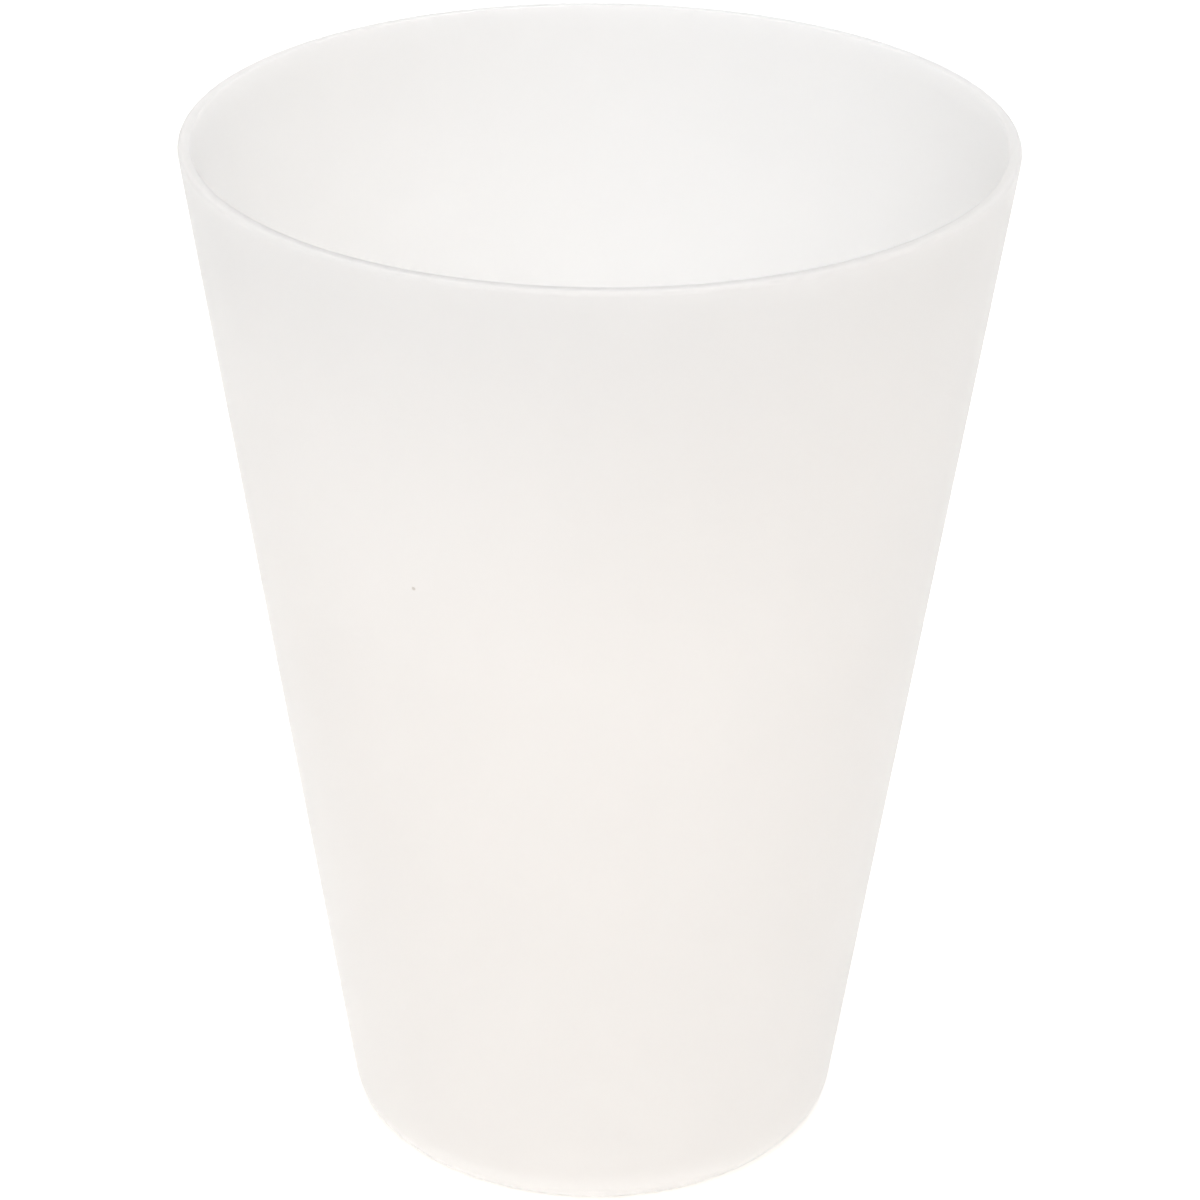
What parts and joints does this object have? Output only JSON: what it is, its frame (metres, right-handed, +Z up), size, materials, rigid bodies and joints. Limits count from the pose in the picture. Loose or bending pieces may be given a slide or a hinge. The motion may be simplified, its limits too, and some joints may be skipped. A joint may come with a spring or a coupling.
{
  "type": "reusable plastic cup",
  "caption": "Plain tapered drinking beaker in frosted milky plastic, with a rounded lip and a raised underside inside a narrow foot ring.",
  "frame": {"origin": "centre of the foot ring, on the surface that the cup stands on", "axes": "+Z up along the cup's axis; the cup is a body of revolution, so +X and +Y are free"},
  "size_m": [0.0898, 0.0898, 0.12],
  "materials": {
    "frosted_polypropylene": "natural uncoloured polypropylene, milky and translucent, with a fine matte moulded surface"
  },
  "bodies": {
    "root": {"cup": "frosted_polypropylene"}
  },
  "joints": []
}
